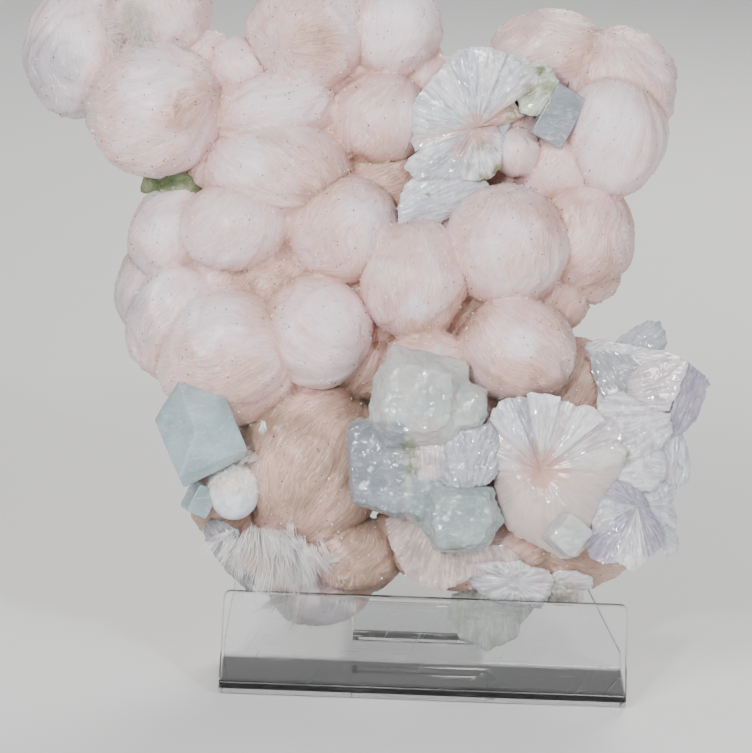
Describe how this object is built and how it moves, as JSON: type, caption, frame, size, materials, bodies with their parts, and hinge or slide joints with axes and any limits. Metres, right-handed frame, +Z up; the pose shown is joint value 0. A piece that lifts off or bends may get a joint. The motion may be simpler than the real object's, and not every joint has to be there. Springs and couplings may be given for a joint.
{
  "type": "mineral specimen on a display stand",
  "caption": "Cluster of pinkish-white stilbite balls with pearly heulandite fans and pale blue-green blocky crystals on rock, leaning back on a bent clear stand.",
  "frame": {"origin": "middle of the underside of the stand's base, on the table", "axes": "+Z up, the specimen's front faces -Y, +X to the right seen from the front"},
  "size_m": [0.1741, 0.0874, 0.1767],
  "materials": {
    "clear_acrylic": "clear sheet with polished edges, fine scratches and dust",
    "green_grey_rock": "rough green-grey rock",
    "pink_stilbite": "silky and waxy, fine fibres that sweep over each ball, with small brown specks",
    "white_stilbite": "snow white, fuzzy with loose fibres",
    "pearly_heulandite": "pearly to silvery, in thin layers, with a bluish sheen",
    "pale_apophyllite": "pale blue-green, cloudy and see-through near the edges"
  },
  "bodies": {
    "root": {"acrylic_stand": "clear_acrylic", "matrix_rock": "green_grey_rock", "stilbite_balls": "pink_stilbite", "white_tufted_ball": "white_stilbite", "heulandite_upper_fan": "pearly_heulandite", "heulandite_right": "pearly_heulandite", "heulandite_left": "pearly_heulandite", "heulandite_foot": "pearly_heulandite", "apophyllite_left": "pale_apophyllite", "apophyllite_middle": "pale_apophyllite", "apophyllite_upper": "pale_apophyllite", "apophyllite_lower": "pale_apophyllite"}
  },
  "joints": []
}
